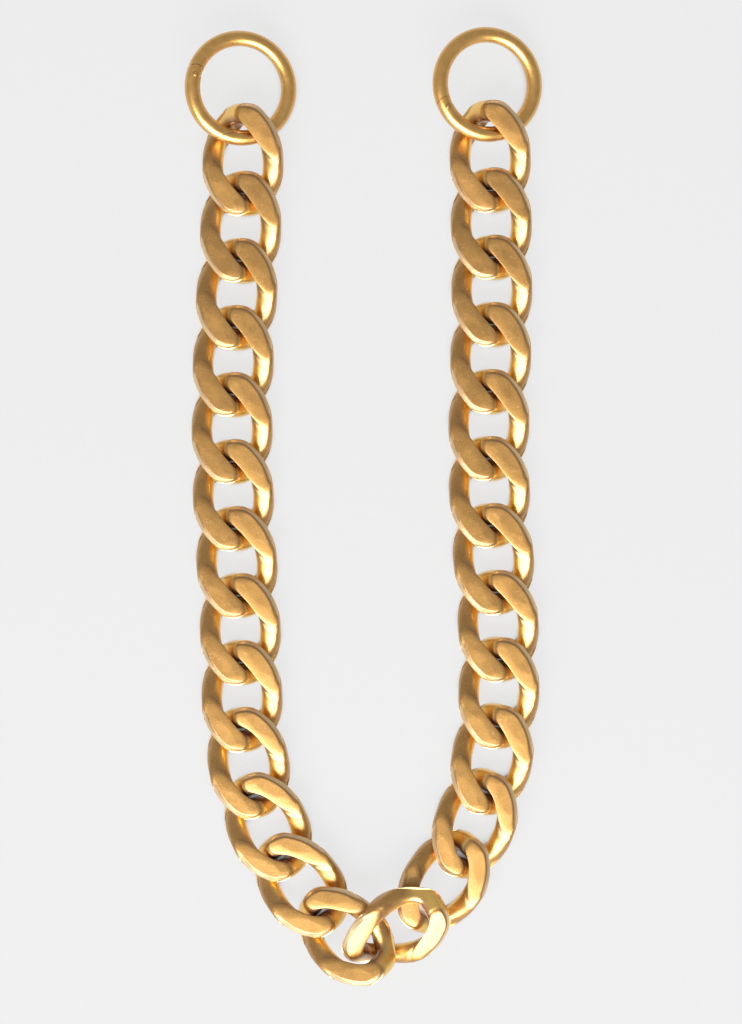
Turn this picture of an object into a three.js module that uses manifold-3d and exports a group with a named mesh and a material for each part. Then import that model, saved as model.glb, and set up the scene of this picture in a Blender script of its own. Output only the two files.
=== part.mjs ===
// A curb-link chain, laid flat in a U, with a spring-gate ring on each end.
// Millimetres, +Z up. The chain lies on the plane z = 0, and the origin is the middle of its footprint.
// Twenty-six equal links run from the left ring down to the point of the U and up to the right ring.
// Each ring is a round carabiner: a C-shaped frame, a hinged gate, its pin, a plunger and a spring.

import * as THREE from 'three';
import { mergeVertices } from 'three/addons/utils/BufferGeometryUtils.js';
import Module from 'manifold-3d';

const wasm = await Module();
wasm.setup();

// ---- Driving dimensions -------------------------------------------------------------------

// One link: an oval of thick wire, twisted about its long axis and pressed flat front and back.
const LINK_WIDTH = 19.9;
const LINK_LENGTH = 27.6;
const WIRE_WIDTH = 5.1;
const WIRE_DEPTH = 5.4;
const LINK_THICKNESS = 6.0;
const END_TWIST = THREE.MathUtils.degToRad(48);
const OVAL_FULLNESS = 2.9;

// The wire is ridged along the sides of the link and rounder and fuller round its ends.
// Each pair is a superellipse exponent: first at mid-side, then round the ends.
const RIDGE_EXPONENT = [1.45, 2.8];
const FLANK_EXPONENT = [2.3, 2.8];
const RIDGE_FADES_FROM = 1.0;
const RIDGE_FADES_TO = 7.5;

const LINK_STEPS_ALONG = 20;
const LINK_STEPS_AROUND = 8;

// The lay of the chain. A link's heading is its long axis, in degrees off straight down,
// and it grows toward the other strand. Both lists run from the ring down to the point of the U.
const LINK_PITCH = 16.45;
const LEFT_HEADINGS = [-1, -3, -4, -2, 0, 2, 4, 2, 1, 10, 24, 36, 47];
const RIGHT_HEADINGS = [-1, -1, 0, 2, 1, -2, -5, -3, 2, 10, 20, 36, 58];
const LEFT_BOTTOM_LINK = [-6.1, 0];
const RIGHT_BOTTOM_LINK = [6.1, 1.6];

// Where the chain turns back on itself the links climb over each other, and a ring's wire passes
// under the front of its end link, so these links lean.
// roll is about the link's long axis and pitch about its short one, in degrees.
const LEANS = {
  link_01: { roll: -6, pitch: 5 },
  link_02: { roll: -1.5, pitch: 0 },
  link_12: { roll: -1, pitch: -2.5 },
  link_13: { roll: -3, pitch: -12 },
  link_14: { roll: -25, pitch: -9 },
  link_15: { roll: -1, pitch: -1 },
  link_25: { roll: 1.5, pitch: 0 },
  link_26: { roll: 6, pitch: -5 },
};

// One spring-gate ring. Angles are in the ring's own plane, counted from the hinge pin.
const RING_OUTSIDE = 28;
const RING_WIRE = 3.8;
const GATE_NOSE_ANGLE = THREE.MathUtils.degToRad(89);
const NOSE_SLANT = THREE.MathUtils.degToRad(52);
const KNUCKLE_RADIUS = 2.4;
const TONGUE_RADIUS = 1.5;
const TONGUE_THICKNESS = 1.3;
const PIN_RADIUS = 0.55;
const PIN_LENGTH = 3.7;
const SPRING_RADIUS = 0.6;
const PLUNGER_LENGTH = 2.4;
const GAP = 0.3;
const SLIDING_GAP = 0.25;

const RING_STEPS_ALONG = 48;
const RING_STEPS_AROUND = 8;

// How each ring lies: its middle seen from the end link's middle, its lean about X and Y in
// degrees, and the angle of its hinge pin in degrees, counted anticlockwise from +X.
const LEFT_RING = { offset: [-0.5, 17.4], lean: [2, 16], hinge: 167 };
const RIGHT_RING = { offset: [-0.7, 17.5], lean: [2, 16], hinge: 209 };

// ---- Materials ----------------------------------------------------------------------------

const satinGold = () => new THREE.MeshStandardMaterial({ color: 0xb8935a, roughness: 0.4, metalness: 1 });
const ringGold = () => new THREE.MeshStandardMaterial({ color: 0xb48f58, roughness: 0.35, metalness: 1 });
const springSteel = () => new THREE.MeshStandardMaterial({ color: 0x8f8f90, roughness: 0.3, metalness: 1 });

// ---- Helpers ------------------------------------------------------------------------------

const radians = THREE.MathUtils.degToRad;

// A signed power, which keeps the sign of its base.
function signedPower(base, exponent) {
  return Math.sign(base) * Math.pow(Math.abs(base), exponent);
}

function bareGeometry(geometry) {
  geometry.deleteAttribute('normal');
  geometry.deleteAttribute('uv');
  return mergeVertices(geometry);
}

function toSolid(geometry) {
  const bare = bareGeometry(geometry);
  const vertProperties = new Float32Array(bare.attributes.position.array);
  const triVerts = new Uint32Array(bare.index.array);
  return new wasm.Manifold(new wasm.Mesh({ numProp: 3, vertProperties, triVerts }));
}

function toGeometry(solid) {
  const cut = solid.getMesh();
  const geometry = new THREE.BufferGeometry();
  geometry.setAttribute('position', new THREE.BufferAttribute(cut.vertProperties, 3));
  geometry.setIndex(new THREE.BufferAttribute(cut.triVerts, 1));
  return geometry;
}

// A flat plate of the given outline, centred on the plane z = 0.
function plate(outline, thickness) {
  const geometry = new THREE.ExtrudeGeometry(outline, {
    depth: thickness,
    bevelEnabled: false,
    curveSegments: 12,
  });
  geometry.translate(0, 0, -thickness / 2);
  return toSolid(geometry);
}

function namedMesh(name, geometry, material) {
  const mesh = new THREE.Mesh(geometry, material);
  mesh.name = name;
  return mesh;
}

// ---- The link -----------------------------------------------------------------------------

// The middle line of the wire before the twist: a full oval in the XY plane, long along Y.
function ovalPoint(turn) {
  const halfWidth = (LINK_WIDTH - WIRE_WIDTH) / 2;
  const halfLength = (LINK_LENGTH - WIRE_WIDTH) / 2;
  const exponent = 2 / OVAL_FULLNESS;
  return new THREE.Vector2(
    halfWidth * signedPower(Math.cos(turn), exponent),
    halfLength * signedPower(Math.sin(turn), exponent),
  );
}

function ovalOutward(turn) {
  const step = 1e-3;
  const along = ovalPoint(turn + step).sub(ovalPoint(turn - step)).normalize();
  return new THREE.Vector2(along.y, -along.x);
}

// How far the section has changed from the ridged one at mid-side to the full one of the ends.
function endShare(y) {
  return THREE.MathUtils.smoothstep(Math.abs(y), RIDGE_FADES_FROM, RIDGE_FADES_TO);
}

// A point on the link's surface: turn goes round the oval and around goes round the wire.
function linkSurface(turn, around) {
  const middle = ovalPoint(turn);
  const outward = ovalOutward(turn);
  const share = endShare(middle.y);
  const ridge = THREE.MathUtils.lerp(RIDGE_EXPONENT[0], RIDGE_EXPONENT[1], share);
  const flank = THREE.MathUtils.lerp(FLANK_EXPONENT[0], FLANK_EXPONENT[1], share);
  const out = (WIRE_WIDTH / 2) * signedPower(Math.cos(around), 2 / ridge);
  const up = (WIRE_DEPTH / 2) * signedPower(Math.sin(around), 2 / flank);
  const x = middle.x + outward.x * out;
  const y = middle.y + outward.y * out;
  const reach = THREE.MathUtils.clamp(y / ((LINK_LENGTH - WIRE_WIDTH) / 2), -1, 1);
  const twist = END_TWIST * reach;
  const z = x * Math.sin(twist) + up * Math.cos(twist);
  return new THREE.Vector3(
    x * Math.cos(twist) - up * Math.sin(twist),
    y,
    THREE.MathUtils.clamp(z, -LINK_THICKNESS / 2, LINK_THICKNESS / 2),
  );
}

// Whole grid steps, so that the last row of the grid closes exactly on the first.
function snapped(steps) {
  return Math.round(steps);
}

// A torus grid gives the closed surface, and each of its vertices moves onto the link.
function linkGeometry() {
  const grid = new THREE.TorusGeometry(2, 1, LINK_STEPS_AROUND, LINK_STEPS_ALONG);
  const { position, uv } = grid.attributes;
  for (let i = 0; i < position.count; i += 1) {
    const turn = snapped(uv.getX(i) * LINK_STEPS_ALONG) * ((2 * Math.PI) / LINK_STEPS_ALONG);
    const around = snapped(uv.getY(i) * LINK_STEPS_AROUND) * ((2 * Math.PI) / LINK_STEPS_AROUND);
    const point = linkSurface(turn, around);
    position.setXYZ(i, point.x, point.y, point.z);
  }
  return bareGeometry(grid);
}

// ---- The lay of the chain -----------------------------------------------------------------

// Puts an object at a place on the table and lowers it until its lowest point touches.
function restOnTable(object, x, y) {
  object.position.set(x, y, 0);
  object.updateMatrixWorld(true);
  object.position.z = -new THREE.Box3().setFromObject(object, true).min.z;
}

function layLink(mesh, turn, centre, lean) {
  mesh.rotation.set(radians(lean.pitch), radians(lean.roll), radians(turn), 'ZYX');
  restOnTable(mesh, centre.x, centre.y);
}

// The middles of one strand's links, from the ring down, found by walking up from its bottom link.
// Neighbours share the point half a pitch from each one's middle, along each one's heading.
function strandCentres(headings, bottom, side) {
  const halfStep = (heading) => {
    const up = new THREE.Vector2(-side * Math.sin(radians(heading)), Math.cos(radians(heading)));
    return up.multiplyScalar(LINK_PITCH / 2);
  };
  const centres = [new THREE.Vector2(...bottom)];
  for (let i = headings.length - 2; i >= 0; i -= 1) {
    const toShared = halfStep(headings[i + 1]);
    const fromShared = halfStep(headings[i]);
    centres.unshift(centres[0].clone().add(toShared).add(fromShared));
  }
  return centres;
}

function linkName(number) {
  return `link_${String(number).padStart(2, '0')}`;
}

// The left strand is numbered downward and the right strand upward, so the numbers follow the chain.
function layChain() {
  const shape = linkGeometry();
  const count = LEFT_HEADINGS.length + RIGHT_HEADINGS.length;
  const left = strandCentres(LEFT_HEADINGS, LEFT_BOTTOM_LINK, 1);
  const right = strandCentres(RIGHT_HEADINGS, RIGHT_BOTTOM_LINK, -1);
  const links = [];
  for (let number = 1; number <= count; number += 1) {
    const name = linkName(number);
    const onLeft = number <= left.length;
    const place = onLeft ? number - 1 : count - number;
    const turn = onLeft ? LEFT_HEADINGS[place] : 180 - RIGHT_HEADINGS[place];
    const centre = onLeft ? left[place] : right[place];
    const mesh = namedMesh(name, shape, satinGold());
    layLink(mesh, turn, centre, LEANS[name] ?? { roll: 0, pitch: 0 });
    links.push(mesh);
  }
  return links;
}

// ---- The spring-gate ring -----------------------------------------------------------------
// Built flat round its own middle, with the hinge pin on +X and the gate running anticlockwise.

const RING_RADIUS = (RING_OUTSIDE - RING_WIRE) / 2;
const PIN_X = RING_RADIUS;
const SLOT_THICKNESS = TONGUE_THICKNESS + 2 * GAP;
const SLOT_RADIUS = TONGUE_RADIUS + 0.4;
const PLATE_THICKNESS = RING_WIRE + 2;
const CUT_REACH = 1.6 * RING_WIRE;
const BORE_RADIUS = SPRING_RADIUS + SLIDING_GAP;
const BORE_START_ANGLE = radians(4);
const BORE_END_ANGLE = radians(42);

function wireRing(wireRadius) {
  return toSolid(new THREE.TorusGeometry(RING_RADIUS, wireRadius, RING_STEPS_AROUND, RING_STEPS_ALONG));
}

function pinDisc(radius) {
  const outline = new THREE.Shape();
  outline.absarc(PIN_X, 0, radius, 0, 2 * Math.PI, false);
  return outline;
}

// The nose joint is a straight cut through the wire, slanted so that the gate is longer on the
// inside of the ring. The frame then stops the gate from swinging outward, and lets it in.
function noseCut(clearance) {
  const inward = new THREE.Vector2(-Math.cos(NOSE_SLANT), Math.sin(NOSE_SLANT));
  const away = new THREE.Vector2(Math.sin(NOSE_SLANT), Math.cos(NOSE_SLANT));
  const middle = new THREE.Vector2(RING_RADIUS, 0).addScaledVector(away, clearance);
  const outerEnd = middle.clone().addScaledVector(inward, -CUT_REACH);
  const innerEnd = middle.clone().addScaledVector(inward, CUT_REACH);
  const centre = new THREE.Vector2();
  return [outerEnd, innerEnd].map((point) => point.rotateAround(centre, GATE_NOSE_ANGLE));
}

// The part of the ring from the hinge pin round to the nose joint.
function gateSector(clearance) {
  const inside = RING_RADIUS - RING_WIRE;
  const outside = RING_RADIUS + RING_WIRE;
  const [outerEnd, innerEnd] = noseCut(clearance);
  const outline = new THREE.Shape();
  outline.absarc(0, 0, outside, 0, outerEnd.angle(), false);
  outline.lineTo(outerEnd.x, outerEnd.y);
  outline.lineTo(innerEnd.x, innerEnd.y);
  outline.absarc(0, 0, inside, innerEnd.angle(), 0, true);
  return outline;
}

// The part of the ring just behind the hinge pin, where the frame narrows to its tongue.
function neckSector(reach) {
  const outline = new THREE.Shape();
  outline.absarc(0, 0, RING_RADIUS + RING_WIRE, -reach, 0, false);
  outline.absarc(0, 0, RING_RADIUS - RING_WIRE, 0, -reach, true);
  return outline;
}

function pinSolid(radius, length) {
  const rod = new THREE.CylinderGeometry(radius, radius, length, 12);
  rod.rotateX(Math.PI / 2);
  rod.translate(PIN_X, 0, 0);
  return toSolid(rod);
}

// The straight line that the spring's bore follows inside the curved gate.
function boreLine() {
  const start = new THREE.Vector2(Math.cos(BORE_START_ANGLE), Math.sin(BORE_START_ANGLE));
  const end = new THREE.Vector2(Math.cos(BORE_END_ANGLE), Math.sin(BORE_END_ANGLE));
  start.multiplyScalar(RING_RADIUS);
  end.multiplyScalar(RING_RADIUS);
  const direction = end.clone().sub(start);
  return { start, length: direction.length(), angle: direction.angle() };
}

// Stands a turned shape, made along +Y from its origin, on the bore line at a given distance.
function placeOnBore(geometry, distance) {
  const { start, angle } = boreLine();
  geometry.translate(0, distance, 0);
  geometry.rotateZ(angle - Math.PI / 2);
  geometry.translate(start.x, start.y, 0);
  return geometry;
}

function lathe(profile) {
  const points = profile.map(([radius, height]) => new THREE.Vector2(radius, height));
  return new THREE.LatheGeometry(points, 12);
}

function gateSolid() {
  const knuckle = plate(pinDisc(KNUCKLE_RADIUS), PLATE_THICKNESS);
  const arm = plate(gateSector(0), PLATE_THICKNESS);
  const forkFloor = new THREE.Shape();
  forkFloor.moveTo(PIN_X - RING_WIRE, -RING_WIRE);
  forkFloor.lineTo(PIN_X + RING_WIRE, -RING_WIRE);
  forkFloor.lineTo(PIN_X + RING_WIRE, 0);
  forkFloor.lineTo(PIN_X - RING_WIRE, 0);
  const slot = plate(forkFloor, SLOT_THICKNESS).add(plate(pinDisc(SLOT_RADIUS), SLOT_THICKNESS));
  const depth = boreLine().length;
  const bore = placeOnBore(lathe([[0, 0], [BORE_RADIUS, 0], [BORE_RADIUS, depth], [0, depth]]), 0);
  return wireRing(RING_WIRE / 2)
    .intersect(knuckle.add(arm))
    .subtract(slot)
    .subtract(pinSolid(PIN_RADIUS + SLIDING_GAP, PLATE_THICKNESS))
    .subtract(toSolid(bore));
}

function frameSolid() {
  const mouth = plate(gateSector(GAP), PLATE_THICKNESS);
  const seat = plate(pinDisc(KNUCKLE_RADIUS + GAP), PLATE_THICKNESS);
  const reach = (KNUCKLE_RADIUS + 2 * GAP) / RING_RADIUS + radians(4);
  const neck = plate(neckSector(reach), TONGUE_THICKNESS);
  const tongue = wireRing(TONGUE_RADIUS)
    .intersect(neck)
    .add(plate(pinDisc(TONGUE_RADIUS), TONGUE_THICKNESS).intersect(wireRing(RING_WIRE / 2)))
    .subtract(pinSolid(PIN_RADIUS + SLIDING_GAP, PLATE_THICKNESS));
  return wireRing(RING_WIRE / 2).subtract(mouth).subtract(seat).add(tongue);
}

function plungerGeometry() {
  const start = TONGUE_RADIUS + GAP - BORE_START_ANGLE * RING_RADIUS;
  const nose = SPRING_RADIUS / 2;
  return placeOnBore(
    lathe([[0, 0], [nose, 0], [SPRING_RADIUS, nose], [SPRING_RADIUS, PLUNGER_LENGTH], [0, PLUNGER_LENGTH]]),
    start,
  );
}

// The spring's own envelope: a sleeve between the plunger and the end of the bore.
function springGeometry() {
  const start = TONGUE_RADIUS + GAP - BORE_START_ANGLE * RING_RADIUS + PLUNGER_LENGTH + SLIDING_GAP;
  const length = boreLine().length - SLIDING_GAP - start;
  const inner = SPRING_RADIUS / 2;
  const sleeve = [[inner, 0], [SPRING_RADIUS, 0], [SPRING_RADIUS, length], [inner, length], [inner, 0]];
  return placeOnBore(lathe(sleeve), start);
}

function springRing(side, lay, endLink) {
  const ring = new THREE.Group();
  ring.add(namedMesh(`${side}_ring_frame`, toGeometry(frameSolid()), ringGold()));
  ring.add(namedMesh(`${side}_ring_gate`, toGeometry(gateSolid()), ringGold()));
  const pin = pinSolid(PIN_RADIUS, PIN_LENGTH);
  ring.add(namedMesh(`${side}_ring_pin`, toGeometry(pin), ringGold()));
  ring.add(namedMesh(`${side}_ring_plunger`, toGeometry(toSolid(plungerGeometry())), springSteel()));
  ring.add(namedMesh(`${side}_ring_spring`, toGeometry(toSolid(springGeometry())), springSteel()));
  ring.rotation.z = radians(lay.hinge);
  const leaning = new THREE.Group();
  leaning.add(ring);
  leaning.rotation.set(radians(lay.lean[0]), radians(lay.lean[1]), 0, 'ZYX');
  restOnTable(leaning, endLink.position.x + lay.offset[0], endLink.position.y + lay.offset[1]);
  return leaning;
}

// ---- The whole necklace -------------------------------------------------------------------

function necklace() {
  const links = layChain();
  const whole = new THREE.Group();
  whole.add(...links);
  whole.add(springRing('left', LEFT_RING, links[0]));
  whole.add(springRing('right', RIGHT_RING, links[links.length - 1]));
  whole.updateMatrixWorld(true);
  const box = new THREE.Box3().setFromObject(whole, true);
  const middle = box.getCenter(new THREE.Vector3());
  whole.position.set(-middle.x, -middle.y, -box.min.z);
  return whole;
}

export default necklace();
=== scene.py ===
"""Looks for the curb-link chain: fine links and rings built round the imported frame."""

import math

import bpy
import numpy as np
from mathutils import Matrix, Vector


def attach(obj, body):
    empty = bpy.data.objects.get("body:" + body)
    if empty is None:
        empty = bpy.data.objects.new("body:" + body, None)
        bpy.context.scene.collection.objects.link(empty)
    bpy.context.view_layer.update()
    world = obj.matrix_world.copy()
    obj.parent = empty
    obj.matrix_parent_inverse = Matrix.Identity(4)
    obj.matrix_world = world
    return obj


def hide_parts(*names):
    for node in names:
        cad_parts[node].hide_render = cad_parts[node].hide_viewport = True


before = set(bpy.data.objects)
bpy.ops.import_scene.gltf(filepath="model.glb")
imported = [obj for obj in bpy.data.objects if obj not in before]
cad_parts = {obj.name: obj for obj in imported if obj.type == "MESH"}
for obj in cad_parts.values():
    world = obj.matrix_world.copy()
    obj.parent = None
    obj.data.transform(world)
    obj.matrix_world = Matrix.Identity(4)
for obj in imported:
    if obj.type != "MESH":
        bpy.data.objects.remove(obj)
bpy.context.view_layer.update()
MM = 0.001
scene = bpy.context.scene

# ---- sizes, in millimetres ------------------------------------------------------------------

LINK_WIDTH, LINK_LENGTH = 19.9, 27.6
WIRE_WIDTH, WIRE_DEPTH = 5.1, 5.4
HALF_THICKNESS = 3.0
END_TWIST = math.radians(48)
FULLNESS = 2.9
RIDGE = (1.45, 2.5)
FLANK = (2.3, 2.4)
RIDGE_FADE = (1.0, 7.5)
SOFT_EDGE = 0.6
DISH, DISH_FROM = 0.12, 5.5
RIDGE_SHIFT = 0.9
SQUEEZE, SQUEEZE_FROM, SQUEEZE_DEPTH = 1.2, 2.2, 1.0
END_SWELL = 0.3
STRAIGHT_FILL, BEND_FILL = 1.0, 0.4
BEND_LINKS = range(10, 17)
RIM_WIDTH, RIM_FALL = 1.1, 0.7
RIM_FADE = (1.5, 6.0)
EDGE_LINE = 0.25
LINKS = 26
LINK_GRID = (176, 64)
FINE_STEPS = 2880
OUTLINE_BINS, OUTLINE_BLUR = 360, 4

RING_RADIUS = 12.1
WIRE_RADIUS = 1.9
KNUCKLE_RADIUS = 2.4
TONGUE_RADIUS = 1.2
TONGUE_THICKNESS = 1.3
PIN_RADIUS = 0.55
PIN_PROUD, PIN_DOME = 0.1, 0.12
SPRING_RADIUS = 0.6
SPRING_WIRE, SPRING_TURNS = 0.11, 8
PLUNGER_LENGTH = 2.4
GAP = 0.3
SLIDING_GAP = 0.25
SEAM = 0.14
PIN_PLAY = 0.08
FORK_WALL = 1.45
RING_GRID = (264, 40)
CUT_DEPTH = 8
SHARP_EDGE = math.radians(32)
GROOVE_RADIUS, GROOVE_WIDTH, GROOVE_HEIGHT = 11.2, 0.3, 1.0
GROOVE_ANGLES = (math.radians(-2), math.radians(20))
# The gate's nose seam: degrees round the pin and the distance from it. The distance never falls, so that the gate
# can swing in.
NOSE_SEAM = ((115, 15.90), (119, 15.92), (122, 15.95), (127, 16.00), (131, 16.08), (134.5, 16.27), (138, 16.76),
             (141.5, 17.10), (145, 17.19), (147.5, 17.21), (150.5, 17.22))
BORE_ANGLES = (math.radians(4), math.radians(42))

# ---- floor, light and camera: lamps are place, aim, width and height in metres, watts and colour ---

ROOM_LEVELS = (0.54, 0.40)
KEY_LIGHT = ((-0.15, -0.78, 0.70), (0, -0.03, 0), 1.2, 0.78, 28, (1.0, 1.0, 1.0))
FOOT_LIGHT = ((-0.06, -0.30, 0.60), (0, -0.12, 0), 0.34, 0.22, 0.3, (0.74, 0.91, 1.0))
FLOOR_GLOW, FLOOR_GLOW_IN_GAPS = 0.755, 0.10
FLOOR_SHADE, FLOOR_SHADE_REACH = (0.25, 0.55), 0.003
# in millimetres; the camera's height is counted from where it would see the whole frame height
FLOOR_HALF_SIDE, FLOOR_DROP = 3000, 0.2
CAMERA_AT = (1.68, -1.73, 3.0)
FRAME_HEIGHT = 251.3
CAMERA_LENS, CAMERA_SENSOR = 100, 36


# ---- helpers --------------------------------------------------------------------------------


def power(value, exponent):
    return np.sign(value) * np.abs(value) ** exponent


def smooth(value, low, high):
    share = np.clip((value - low) / (high - low), 0, 1)
    return share * share * (3 - 2 * share)


def grid_quads(rows, columns):
    """The quads of a grid that closes on itself both ways."""
    i = np.arange(rows)[:, None]
    j = np.arange(columns)[None]
    here = i * columns + j
    beside = i * columns + (j + 1) % columns
    next_row = (i + 1) % rows
    quads = np.stack([here, next_row * columns + j, next_row * columns + (j + 1) % columns, beside], -1)
    return quads.reshape(-1, 4)


def mesh_from(name, points, faces):
    mesh = bpy.data.meshes.new(name)
    places = [tuple(p) for p in np.asarray(points, float) * MM]
    mesh.from_pydata(places, [], [tuple(int(k) for k in f) for f in faces])
    mesh.polygons.foreach_set("use_smooth", [True] * len(mesh.polygons))
    mesh.update()
    return mesh


def new_object(name, mesh, material):
    piece = bpy.data.objects.new(name, mesh)
    scene.collection.objects.link(piece)
    if not mesh.materials:
        mesh.materials.append(material)
    return piece


def point_attribute(mesh, name, values):
    attribute = mesh.attributes.new(name, "FLOAT", "POINT")
    attribute.data.foreach_set("value", np.asarray(values, np.float32))


# ---- materials ------------------------------------------------------------------------------


class Nodes:
    """A short way to write a node tree."""

    def __init__(self, name):
        self.material = bpy.data.materials.new(name)
        self.material.use_nodes = True
        self.tree = self.material.node_tree
        self.tree.nodes.clear()
        self.output = self.tree.nodes.new("ShaderNodeOutputMaterial")
        self.shader = self.tree.nodes.new("ShaderNodeBsdfPrincipled")
        self.link(self.shader.outputs[0], self.output.inputs[0])

    def link(self, a, b):
        self.tree.links.new(a, b)

    def add(self, kind, **settings):
        node = self.tree.nodes.new(kind)
        for key, value in settings.items():
            setattr(node, key, value)
        return node

    def feed(self, node, index, value):
        if isinstance(value, bpy.types.NodeSocket):
            self.link(value, node.inputs[index])
        else:
            node.inputs[index].default_value = value

    def noise(self, scale, detail=4, roughness=0.5, vector=None):
        node = self.add("ShaderNodeTexNoise")
        node.inputs["Scale"].default_value = scale
        node.inputs["Detail"].default_value = detail
        node.inputs["Roughness"].default_value = roughness
        if vector is not None:
            self.link(vector, node.inputs["Vector"])
        return node.outputs["Fac"]

    def attribute(self, name):
        return self.add("ShaderNodeAttribute", attribute_name=name).outputs["Fac"]

    def ramp(self, value, low, high, to_low=0.0, to_high=1.0):
        node = self.add("ShaderNodeMapRange")
        self.feed(node, 0, value)
        for index, number in ((1, low), (2, high), (3, to_low), (4, to_high)):
            self.feed(node, index, number)
        return node.outputs[0]

    def maths(self, operation, a, b=0.0):
        node = self.add("ShaderNodeMath", operation=operation)
        self.feed(node, 0, a)
        self.feed(node, 1, b)
        return node.outputs[0]

    def mix(self, factor, a, b):
        node = self.add("ShaderNodeMix", data_type="RGBA")
        self.feed(node, 0, factor)
        self.feed(node, 6, a)
        self.feed(node, 7, b)
        return node.outputs[2]

    def bump(self, height, distance, strength=1.0, normal=None):
        node = self.add("ShaderNodeBump")
        node.inputs["Strength"].default_value = strength
        node.inputs["Distance"].default_value = distance
        self.link(height, node.inputs["Height"])
        if normal is not None:
            self.link(normal, node.inputs["Normal"])
        return node.outputs[0]


def rgb(red, green, blue):
    return (red, green, blue, 1.0)


def link_gold():
    n = Nodes("link_gold")
    place = n.add("ShaderNodeTexCoord").outputs["Object"]
    flat, wall, crevice_patina_and_shade = n.attribute("flat"), n.attribute("wall"), n.attribute("crevice_patina_and_shade")
    cloud = n.noise(260, 3, 0.55, place)
    grain = n.noise(3600, 2, 0.6, place)
    speck = n.noise(2300, 0, 0.5, place)
    tint = n.mix(n.ramp(cloud, 0.35, 0.7), rgb(0.43, 0.215, 0.043), rgb(0.51, 0.265, 0.063))
    tint = n.mix(n.ramp(grain, 0.40, 0.66, 0.0, 0.55), tint, rgb(0.64, 0.355, 0.108))
    tint = n.mix(n.ramp(speck, 0.77, 0.85, 0.0, 0.35), tint, rgb(1.0, 0.82, 0.50))
    # painted reflection: a saturated golden glow on the lower inner walls and on the arch sides at the link's ends
    tint = n.mix(n.maths("MULTIPLY", wall, 0.85), tint, rgb(1.0, 0.62, 0.14))
    # painted highlight: a pale tint on the sloping rims outside the flats
    tint = n.mix(n.maths("MULTIPLY", n.attribute("rim"), 0.75), tint, rgb(1.0, 0.74, 0.42))
    # painted shade: dark lines along the inner edges of the flats and the borders of their rims
    tint = n.mix(n.maths("MULTIPLY", n.attribute("painted_edge_shade"), 0.65), tint, rgb(0.26, 0.13, 0.05))
    # the crevices where the links cross darken toward plum brown: partly the metal's patina in its hollows, partly
    # painted shade
    patina_and_shade = n.maths("MULTIPLY", crevice_patina_and_shade, n.ramp(cloud, 0.25, 0.6, 0.6, 1.0))
    tint = n.mix(patina_and_shade, tint, rgb(0.30, 0.19, 0.16))
    n.link(tint, n.shader.inputs["Base Color"])
    n.shader.inputs["Metallic"].default_value = 1.0
    n.shader.inputs["Coat Weight"].default_value = 0.60
    n.shader.inputs["Coat Roughness"].default_value = 0.26
    n.shader.inputs["Coat IOR"].default_value = 1.8
    rough = n.ramp(flat, 0.0, 1.0, 0.34, 0.46)
    rough = n.maths("ADD", rough, n.ramp(cloud, 0.3, 0.7, -0.04, 0.05))
    n.link(rough, n.shader.inputs["Roughness"])
    fine = n.bump(n.maths("MULTIPLY", grain, n.ramp(flat, 0.0, 1.0, 0.3, 1.0)), 0.000014)
    wide = n.bump(n.maths("MULTIPLY", speck, n.ramp(flat, 0.0, 1.0, 0.15, 1.0)), 0.000016, 1.0, fine)
    n.link(wide, n.shader.inputs["Normal"])
    return n.material


def ring_gold():
    n = Nodes("ring_gold")
    place = n.add("ShaderNodeTexCoord").outputs["Object"]
    cloud = n.noise(420, 3, 0.5, place)
    grain = n.noise(5000, 2, 0.6, place)
    tint = n.mix(n.ramp(cloud, 0.35, 0.7), rgb(0.70, 0.385, 0.098), rgb(0.78, 0.445, 0.128))
    n.link(tint, n.shader.inputs["Base Color"])
    n.shader.inputs["Metallic"].default_value = 1.0
    n.shader.inputs["Coat Weight"].default_value = 0.45
    n.shader.inputs["Coat Roughness"].default_value = 0.22
    n.shader.inputs["Coat IOR"].default_value = 1.8
    n.link(n.ramp(cloud, 0.3, 0.7, 0.30, 0.37), n.shader.inputs["Roughness"])
    n.link(n.bump(grain, 0.000006), n.shader.inputs["Normal"])
    return n.material


def spring_steel():
    n = Nodes("spring_steel")
    place = n.add("ShaderNodeTexCoord").outputs["Object"]
    grain = n.noise(6000, 2, 0.6, place)
    n.link(n.mix(grain, rgb(0.44, 0.44, 0.45), rgb(0.62, 0.62, 0.63)), n.shader.inputs["Base Color"])
    n.shader.inputs["Metallic"].default_value = 1.0
    n.link(n.ramp(grain, 0.3, 0.7, 0.22, 0.36), n.shader.inputs["Roughness"])
    n.link(n.bump(grain, 0.000005), n.shader.inputs["Normal"])
    return n.material


LINK_GOLD = link_gold()
RING_GOLD = ring_gold()
SPRING_STEEL = spring_steel()


# ---- the links ------------------------------------------------------------------------------


def even_steps(x, y, count):
    """Where along a closed line of points to stop, so that the steps come out equal."""
    step = np.hypot(np.roll(x, -1) - x, np.roll(y, -1) - y)
    travelled = np.concatenate([[0], np.cumsum(step)])
    return np.interp(np.arange(count) / count * travelled[-1], travelled, np.arange(len(x) + 1))


def distance_inside(x, y):
    """How far each point lies inside the outline of them all, seen from above."""
    turn = np.arctan2(y, x)
    bins = ((turn + np.pi) / (2 * np.pi) * OUTLINE_BINS).astype(int) % OUTLINE_BINS
    reach = np.zeros(OUTLINE_BINS)
    np.maximum.at(reach, bins.ravel(), np.hypot(x, y).ravel())
    shifts = range(-OUTLINE_BLUR, OUTLINE_BLUR + 1)
    reach = sum(np.roll(reach, shift) for shift in shifts) / len(shifts)
    angle = (np.arange(OUTLINE_BINS) + 0.5) / OUTLINE_BINS * 2 * np.pi - np.pi
    outline_x, outline_y = reach * np.cos(angle), reach * np.sin(angle)
    near = np.hypot(x.reshape(-1, 1) - outline_x, y.reshape(-1, 1) - outline_y).min(1)
    return near.reshape(x.shape)


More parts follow.
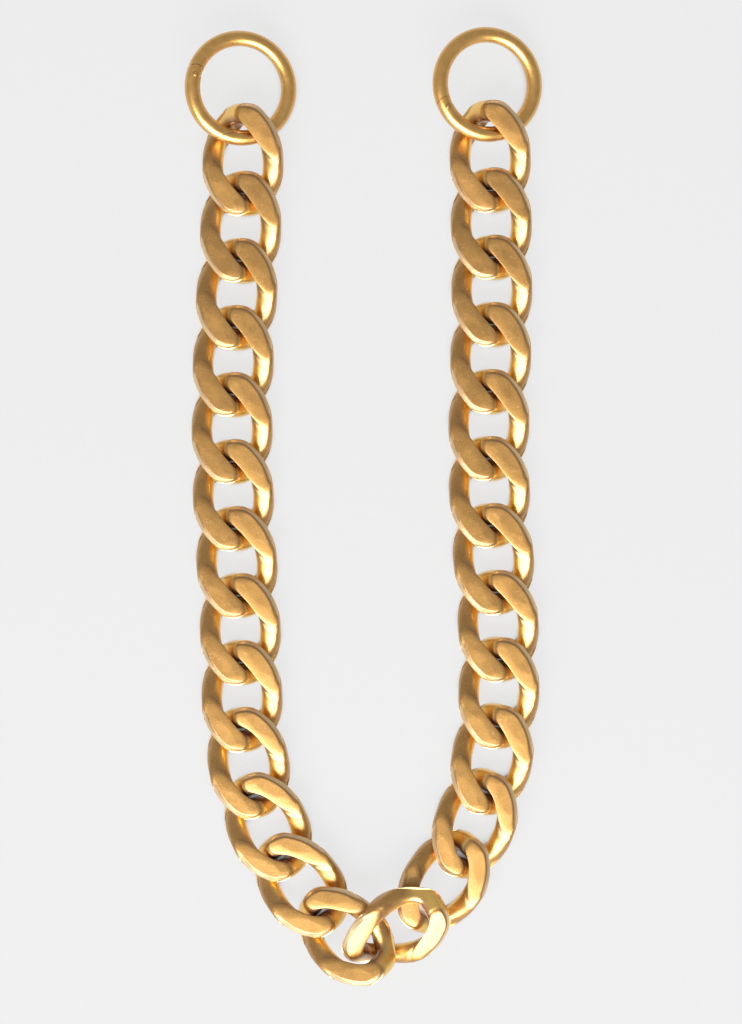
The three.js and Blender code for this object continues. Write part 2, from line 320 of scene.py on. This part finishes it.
def link_points(along, around, fill):
    """The link's surface round its own middle, its arches filled out by that share.

    With it comes, for each point, how flat, how hidden and how near an edge it is, as masks for the patina, the
    painted shade, the painted reflection and the painted highlight.
    """
    half_width = (LINK_WIDTH - WIRE_WIDTH) / 2
    half_length = (LINK_LENGTH - WIRE_WIDTH) / 2
    dense = 2 * np.pi * np.arange(FINE_STEPS) / FINE_STEPS

    def oval(angle):
        return half_width * power(np.cos(angle), 2 / FULLNESS), half_length * power(np.sin(angle), 2 / FULLNESS)

    turn = 2 * np.pi / FINE_STEPS * even_steps(*oval(dense), along)
    x, y = oval(turn)
    dx, dy = np.roll(x, -1) - np.roll(x, 1), np.roll(y, -1) - np.roll(y, 1)
    length = np.hypot(dx, dy)
    out_x, out_y = (dy / length)[:, None], (-dx / length)[:, None]
    share = smooth(np.abs(y), *RIDGE_FADE)
    out, up = np.zeros((along, around)), np.zeros((along, around))
    for row in range(along):
        ridge = RIDGE[0] + (RIDGE[1] - RIDGE[0]) * share[row]
        flank = FLANK[0] + (FLANK[1] - FLANK[0]) * share[row]
        u = WIRE_WIDTH / 2 * power(np.cos(dense), 2 / ridge)
        v = WIRE_DEPTH / 2 * power(np.sin(dense), 2 / flank)
        stops = even_steps(u, v, around)
        out[row] = np.interp(stops, np.arange(FINE_STEPS + 1), np.append(u, u[0]))
        up[row] = np.interp(stops, np.arange(FINE_STEPS + 1), np.append(v, v[0]))
    lean = 1 - (2 * out / WIRE_WIDTH) ** 2
    inner = np.clip(-2 * out / WIRE_WIDTH, 0, 1)
    out = out + RIDGE_SHIFT * (1 - share[:, None]) * lean
    out = out - fill * END_SWELL * smooth(np.abs(y), 6.0, 9.5)[:, None] * inner
    flat_x, flat_y = x[:, None] + out_x * out, y[:, None] + out_y * out
    twist = END_TWIST * np.clip(flat_y / half_length, -1, 1)
    height = flat_x * np.sin(twist) + up * np.cos(twist)
    # pressing squeezes the metal over the hole
    spare = np.maximum(np.abs(height) - SQUEEZE_FROM, 0)
    spread = fill * SQUEEZE * (1 - np.exp(-(spare / SQUEEZE_DEPTH) ** 2)) * inner ** 0.7
    flat_x, flat_y = flat_x - out_x * spread, flat_y - out_y * spread
    px = flat_x * np.cos(twist) - up * np.sin(twist)
    knee = HALF_THICKNESS - SOFT_EDGE
    size = np.abs(height)
    pressed = np.where(size > knee, knee + SOFT_EDGE * np.tanh((size - knee) / SOFT_EDGE), size)
    ends = smooth(np.abs(flat_y), 6.5, 9.5)
    # the rim outside each flat slopes down to the outline of the link
    inside = distance_inside(px, flat_y)
    on_flat = smooth(size, knee - 0.5, knee + 0.5)
    rim_mask = on_flat * smooth(np.abs(flat_y), *RIM_FADE)
    rim = np.clip(1 - inside / RIM_WIDTH, 0, 1) * rim_mask
    dish = DISH * np.clip(DISH_FROM - size, 0, DISH_FROM - HALF_THICKNESS) * smooth(size, knee - 0.6, knee + 0.3)
    pz = np.sign(height) * (pressed - dish - RIM_FALL * rim)
    points = np.stack([px, flat_y, pz], -1).reshape(-1, 3)
    flat = smooth(size, knee, knee + 0.6) * (1 - smooth(rim, 0.0, 0.2))
    # painted shade lines, along the inner edge of each flat and along the inner border of its rim
    edge = np.exp(-((size - knee - 0.1) / EDGE_LINE) ** 2)
    rim_shade_line = np.exp(-((inside - RIM_WIDTH) / EDGE_LINE) ** 2) * rim_mask
    looks = {
        "flat": flat,
        # painted reflection, on the lower inner walls and on the arch sides at the ends
        "wall": (1 - flat) * np.maximum(
            smooth(inner, 0.45, 0.95) * (1 - ends) * (1 - smooth(size, 0.6, 2.0)),
            (1 - rim_mask) * (1 - inner) * ends),
        # patina and painted shade in the crevices where the links cross
        "crevice_patina_and_shade": smooth(inner, 0.1, 0.9) * (1 - flat) * ends,
        # painted shade along the flats' edges
        "painted_edge_shade": np.maximum(edge * smooth(inner, 0.1, 0.5), rim_shade_line),
        # painted highlight on the rims
        "rim": smooth(rim, 0.1, 0.4),
    }
    return points, {name: values.ravel() for name, values in looks.items()}


def link_frame(node):
    """Where a CAD link lies: its middle, and its own axes from how its points are spread."""
    co = np.array([v.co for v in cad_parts[node].data.vertices], float)
    co = np.unique(np.round(co, 7), axis=0)
    middle = co.mean(0)
    spread = np.linalg.eigh(np.cov((co - middle).T))[1]
    long_axis, thin_axis = spread[:, 2], spread[:, 0]
    long_axis = long_axis * (1 if long_axis[1] > 0 else -1)
    thin_axis = thin_axis * (1 if thin_axis[2] > 0 else -1)
    wide_axis = np.cross(long_axis, thin_axis)
    turn = Matrix([wide_axis, long_axis, thin_axis]).transposed().to_4x4()
    return Matrix.Translation(Vector(middle)) @ turn


def build_links():
    quads = grid_quads(*LINK_GRID)
    shapes = {fill: link_points(*LINK_GRID, fill) for fill in (STRAIGHT_FILL, BEND_FILL)}
    for number in range(1, LINKS + 1):
        node = f"link_{number:02d}"
        points, looks = shapes[BEND_FILL if number in BEND_LINKS else STRAIGHT_FILL]
        mesh = mesh_from(node, points, quads)
        for name, values in looks.items():
            point_attribute(mesh, name, values)
        mesh.transform(link_frame(node))
        piece = new_object(f"curb_{node}", mesh, LINK_GOLD)
        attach(piece, node)
        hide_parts(node)


build_links()


# ---- the spring-gate rings ------------------------------------------------------------------
# Each piece is made round the ring's own middle, with the hinge pin on +X and the gate running anticlockwise from
# it, and is then laid where the CAD ring lies.


def arc(radius, start, end, steps=48, middle=(0.0, 0.0)):
    angle = np.linspace(start, end, steps)
    return np.stack([middle[0] + radius * np.cos(angle), middle[1] + radius * np.sin(angle)], -1)


def pin_disc(radius):
    return arc(radius, 0, 2 * np.pi, 65, (RING_RADIUS, 0.0))[:-1]


def prism(outline, thickness):
    """A flat plate of the given outline, as thick above the ring's plane as below it."""
    count = len(outline)
    points = [(x, y, side * thickness / 2) for side in (-1, 1) for x, y in outline]
    sides = [(k, (k + 1) % count, count + (k + 1) % count, count + k) for k in range(count)]
    caps = [tuple(reversed(range(count))), tuple(range(count, 2 * count))]
    return mesh_from("plate", points, sides + caps)


def torus(wire_radius):
    along, around = RING_GRID
    turn = (2 * np.pi * np.arange(along) / along)[:, None]
    section = (2 * np.pi * np.arange(around) / around)[None]
    reach = RING_RADIUS + wire_radius * np.cos(section)
    points = np.stack([reach * np.cos(turn), reach * np.sin(turn), wire_radius * np.sin(section) + 0 * turn], -1)
    return mesh_from("wire", points.reshape(-1, 3), grid_quads(along, around))


def combined(mesh, *steps):
    """The first mesh after each step, an operation and the mesh that it is done with."""
    helpers = [new_object("helper", mesh, RING_GOLD)]
    for operation, other in steps:
        helpers.append(new_object("helper", other, RING_GOLD))
        modifier = helpers[0].modifiers.new("cut", "BOOLEAN")
        modifier.operation, modifier.object, modifier.solver = operation, helpers[-1], "EXACT"
    result = bpy.data.meshes.new_from_object(helpers[0].evaluated_get(bpy.context.evaluated_depsgraph_get()))
    for helper in helpers:
        bpy.data.objects.remove(helper)
    result.materials.clear()
    return result


def nose_cut(clearance):
    """The curved joint between gate and frame, from its outer end to its inner end."""
    seam = np.array([(RING_RADIUS + r * math.cos(math.radians(a)), r * math.sin(math.radians(a)))
                     for a, r in NOSE_SEAM])
    stops = np.linspace(0, len(seam) - 1, 33)
    curve = np.stack([np.interp(stops, np.arange(len(seam)), seam[:, k]) for k in (0, 1)], -1)
    for _ in range(6):
        curve[1:-1] = (curve[:-2] + 2 * curve[1:-1] + curve[2:]) / 4
    along = np.gradient(curve, axis=0)
    along /= np.linalg.norm(along, axis=1)[:, None]
    return curve + clearance * np.stack([along[:, 1], -along[:, 0]], -1)


def gate_sector(clearance):
    """The outline of the gate's side of the ring, which ends at the nose seam."""
    seam = nose_cut(clearance)
    outside = arc(RING_RADIUS + 2 * WIRE_RADIUS, 0, math.atan2(seam[0, 1], seam[0, 0]) - 0.02)
    inside = arc(RING_RADIUS - 2 * WIRE_RADIUS, math.atan2(seam[-1, 1], seam[-1, 0]) - 0.02, 0)
    return np.vstack([outside, seam, inside])


def rod(radius, length, dome=0.0, steps=40):
    """A round rod along Z, its two ends domed."""
    rings = [(0.0, -length / 2), (radius * 0.6, -length / 2 + dome * 0.2), (radius, -length / 2 + dome)]
    rings = rings + [(r, -z) for r, z in reversed(rings)]
    return turned(rings, steps)


def turned(profile, steps=40):
    """A solid of revolution about Z; the profile starts and ends on the axis."""
    angle = 2 * np.pi * np.arange(steps) / steps
    points = [(0, 0, profile[0][1])]
    for radius, z in profile[1:-1]:
        points += [(radius * math.cos(a), radius * math.sin(a), z) for a in angle]
    points.append((0, 0, profile[-1][1]))
    faces = [(0, 1 + (k + 1) % steps, 1 + k) for k in range(steps)]
    for row in range(len(profile) - 3):
        base = 1 + row * steps
        faces += [(base + k, base + (k + 1) % steps, base + steps + (k + 1) % steps, base + steps + k)
                  for k in range(steps)]
    last = 1 + (len(profile) - 3) * steps
    faces += [(last + k, last + (k + 1) % steps, len(points) - 1) for k in range(steps)]
    return mesh_from("turned", points, faces)


def on_bore(mesh, distance):
    """Lays a shape made along +Z on the straight bore inside the gate."""
    start, end = (RING_RADIUS * np.array([math.cos(a), math.sin(a)]) for a in BORE_ANGLES)
    along = Vector((*(end - start), 0.0)).normalized()
    place = Vector((*start, 0.0)) + distance * along
    mesh.transform(Matrix.Translation(place * MM) @ along.to_track_quat("Z", "Y").to_matrix().to_4x4())
    return mesh


def coil(radius, wire_radius, length, turns, around=10, per_turn=28):
    """A helical spring along Z, with closed wire ends."""
    count = int(turns * per_turn)
    angle = 2 * np.pi * turns * np.arange(count + 1) / count
    centre = np.stack([radius * np.cos(angle), radius * np.sin(angle), length * np.arange(count + 1) / count], -1)
    tangent = np.gradient(centre, axis=0)
    tangent /= np.linalg.norm(tangent, axis=1)[:, None]
    out = np.stack([np.cos(angle), np.sin(angle), 0 * angle], -1)
    side = np.cross(tangent, out)
    section = 2 * np.pi * np.arange(around) / around
    points = centre[:, None] + wire_radius * (
        out[:, None] * np.cos(section)[None, :, None] + side[:, None] * np.sin(section)[None, :, None])
    faces = [tuple(reversed(range(around)))]
    for row in range(count):
        base = row * around
        faces += [(base + k, base + (k + 1) % around, base + around + (k + 1) % around, base + around + k)
                  for k in range(around)]
    faces.append(tuple(range(count * around, (count + 1) * around)))
    return mesh_from("coil", points.reshape(-1, 3), faces)


def pin_hole():
    """What the hinge pin's hole takes away."""
    hole = rod(PIN_RADIUS + PIN_PLAY, CUT_DEPTH)
    hole.transform(Matrix.Translation((RING_RADIUS * MM, 0, 0)))
    return hole


def bore_reach():
    """The length of the spring's straight bore inside the gate."""
    return 2 * RING_RADIUS * math.sin((BORE_ANGLES[1] - BORE_ANGLES[0]) / 2)


def gate_mesh():
    """The gate: an arm with a forked knuckle, a fine groove on each side of the fork, and the spring's bore."""
    inside, wall = RING_RADIUS - 4, RING_RADIUS + FORK_WALL
    fork = [(inside, -4), (wall, -4), (wall, 0), (inside, 0)]
    groove = np.vstack([arc(GROOVE_RADIUS, *GROOVE_ANGLES), arc(inside, *reversed(GROOVE_ANGLES))])
    grooves = [prism(groove, GROOVE_WIDTH) for _ in range(2)]
    for side, line in zip((-1, 1), grooves):
        line.transform(Matrix.Translation((0, 0, side * GROOVE_HEIGHT * MM)))
    slot = TONGUE_THICKNESS + 2 * SLIDING_GAP
    bore_length = bore_reach()
    hole = pin_hole()
    bore_radius = SPRING_RADIUS + SLIDING_GAP
    bore = turned([(0, 0), (bore_radius, 0), (bore_radius, bore_length), (0, bore_length)])
    arm = combined(prism(pin_disc(KNUCKLE_RADIUS), CUT_DEPTH), ("UNION", prism(gate_sector(0), CUT_DEPTH)))
    return combined(
        torus(WIRE_RADIUS),
        ("INTERSECT", arm),
        ("DIFFERENCE", prism(fork, slot)),
        ("DIFFERENCE", grooves[0]),
        ("DIFFERENCE", grooves[1]),
        ("DIFFERENCE", prism(pin_disc(TONGUE_RADIUS + SLIDING_GAP), slot)),
        ("DIFFERENCE", hole),
        ("DIFFERENCE", on_bore(bore, 0)),
    )


def frame_mesh():
    """The fixed part of the ring, with the tongue that the gate's fork turns on."""
    reach = (KNUCKLE_RADIUS + 2 * GAP) / RING_RADIUS + math.radians(4)
    neck = np.vstack([arc(RING_RADIUS + 3.8, -reach, 0), arc(RING_RADIUS - 3.8, 0, -reach)])
    hole = pin_hole()
    eye = combined(prism(pin_disc(TONGUE_RADIUS), TONGUE_THICKNESS), ("INTERSECT", torus(WIRE_RADIUS)))
    tongue = combined(
        torus(TONGUE_RADIUS), ("INTERSECT", prism(neck, TONGUE_THICKNESS)), ("UNION", eye), ("DIFFERENCE", hole))
    return combined(
        torus(WIRE_RADIUS),
        ("DIFFERENCE", prism(gate_sector(SEAM), CUT_DEPTH)),
        ("DIFFERENCE", prism(pin_disc(KNUCKLE_RADIUS + SEAM), CUT_DEPTH)),
        ("UNION", tongue),
    )


def ring_place(side):
    """Where a CAD ring lies: its middle, with +X toward the pin and +Z along its axis."""
    spots = [np.array([v.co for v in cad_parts[f"{side}_ring_{part}"].data.vertices], float)
             for part in ("frame", "gate", "pin")]
    whole = np.vstack(spots[:2])
    middle = (whole.min(0) + whole.max(0)) / 2
    body = np.unique(np.round(spots[0], 7), axis=0)
    axis = Vector(np.linalg.eigh(np.cov((body - body.mean(0)).T))[1][:, 0])
    axis = axis if axis.z > 0 else -axis
    pin = (spots[2].min(0) + spots[2].max(0)) / 2
    to_pin = Vector(pin - middle)
    to_pin = (to_pin - axis * to_pin.dot(axis)).normalized()
    middle = Vector(pin) - to_pin * RING_RADIUS * MM
    turn = Matrix([to_pin, axis.cross(to_pin), axis]).transposed().to_4x4()
    return Matrix.Translation(middle) @ turn


def ring_parts():
    """The meshes of one ring by the CAD node each stands for."""
    pin = rod(PIN_RADIUS, 2 * WIRE_RADIUS + PIN_PROUD, PIN_DOME)
    pin.transform(Matrix.Translation((RING_RADIUS * MM, 0, 0)))
    start = TONGUE_RADIUS + 2 * GAP - BORE_ANGLES[0] * RING_RADIUS
    nose = SPRING_RADIUS / 2
    plunger = turned([(0, 0), (nose * 0.7, 0.05), (nose, 0.15), (SPRING_RADIUS, nose + 0.1),
                      (SPRING_RADIUS, PLUNGER_LENGTH - 0.1), (SPRING_RADIUS - 0.1, PLUNGER_LENGTH),
                      (0, PLUNGER_LENGTH)])
    spring_start = start + PLUNGER_LENGTH + SLIDING_GAP + 0.1
    spring_length = bore_reach() - SLIDING_GAP - 0.1 - spring_start
    spring = coil(SPRING_RADIUS - 0.12, SPRING_WIRE, spring_length, SPRING_TURNS)
    return {
        "frame": (frame_mesh(), RING_GOLD, "ring_gold"),
        "gate": (gate_mesh(), RING_GOLD, "ring_gold"),
        "pin": (pin, RING_GOLD, "ring_gold"),
        "plunger": (on_bore(plunger, start), SPRING_STEEL, "spring_steel"),
        "spring": (on_bore(spring, spring_start), SPRING_STEEL, "spring_steel"),
    }


def build_rings():
    parts = ring_parts()
    for side in ("left", "right"):
        for part, (shape, material, slot) in parts.items():
            node = f"{side}_ring_{part}"
            mesh = shape.copy()
            mesh.transform(ring_place(side))
            mesh.materials.clear()
            mesh.polygons.foreach_set("use_smooth", [True] * len(mesh.polygons))
            mesh.set_sharp_from_angle(angle=SHARP_EDGE)
            piece = new_object(f"fine_{node}", mesh, material)
            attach(piece, f"{side}_ring" if part in ("frame", "pin") else f"{side}_gate")
            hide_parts(node)


build_rings()


# ---- floor, light and camera ----------------------------------------------------------------


def build_stage():
    corners = [(x * FLOOR_HALF_SIDE, y * FLOOR_HALF_SIDE, 0) for x, y in ((-1, -1), (1, -1), (1, 1), (-1, 1))]
    floor = mesh_from("floor", corners, [(0, 1, 2, 3)])
    n = Nodes("pale_floor")
    n.shader.inputs["Base Color"].default_value = rgb(0.04, 0.04, 0.04)
    n.shader.inputs["Roughness"].default_value = 0.9
    n.shader.inputs["Emission Color"].default_value = rgb(1.0, 1.0, 1.0)
    # painted shade: the floor's glow is turned down where the links hem it in, so the narrow gaps between them stay
    # dark
    shade = n.add("ShaderNodeAmbientOcclusion", samples=8)
    shade.inputs["Distance"].default_value = FLOOR_SHADE_REACH
    glow = n.ramp(shade.outputs["AO"], *FLOOR_SHADE, FLOOR_GLOW_IN_GAPS, FLOOR_GLOW)
    n.link(glow, n.shader.inputs["Emission Strength"])
    piece = new_object("floor", floor, n.material)
    piece.location.z = -FLOOR_DROP * MM


def soft_light(name, place, aim, width, height, power_w, tint):
    light = bpy.data.lights.new(name, "AREA")
    light.shape = "RECTANGLE"
    light.size, light.size_y = width, height
    light.energy = power_w
    light.color = tint
    lamp = bpy.data.objects.new(name, light)
    scene.collection.objects.link(lamp)
    lamp.location = place
    lamp.rotation_mode = "QUATERNION"
    lamp.rotation_quaternion = (Vector(aim) - Vector(place)).to_track_quat("-Z", "Y")


def build_light():
    """A pale room, a little brighter to the left, with a broad key light past the foot and a small one above it."""
    world = bpy.data.worlds.new("room")
    scene.world = world
    world.use_nodes = True
    tree = world.node_tree
    background = tree.nodes["Background"]
    background.inputs[0].default_value = rgb(1, 1, 1)
    direction = tree.nodes.new("ShaderNodeTexCoord").outputs["Generated"]
    split = tree.nodes.new("ShaderNodeSeparateXYZ")
    tree.links.new(direction, split.inputs[0])
    level = tree.nodes.new("ShaderNodeMapRange")
    tree.links.new(split.outputs["X"], level.inputs[0])
    for index, number in enumerate((-1.0, 1.0, *ROOM_LEVELS), start=1):
        level.inputs[index].default_value = number
    tree.links.new(level.outputs[0], background.inputs[1])
    soft_light("key", *KEY_LIGHT)
    soft_light("foot", *FOOT_LIGHT)


def build_camera():
    camera = bpy.data.cameras.new("camera")
    camera.lens = CAMERA_LENS
    camera.sensor_width = CAMERA_SENSOR
    camera.clip_end = 20
    rig = bpy.data.objects.new("camera", camera)
    scene.collection.objects.link(rig)
    x, y, top = (MM * length for length in CAMERA_AT)
    rig.location = (x, y, top + FRAME_HEIGHT * MM * CAMERA_LENS / CAMERA_SENSOR)
    scene.camera = rig


build_stage()
build_light()
build_camera()
scene.view_settings.view_transform = "Standard"
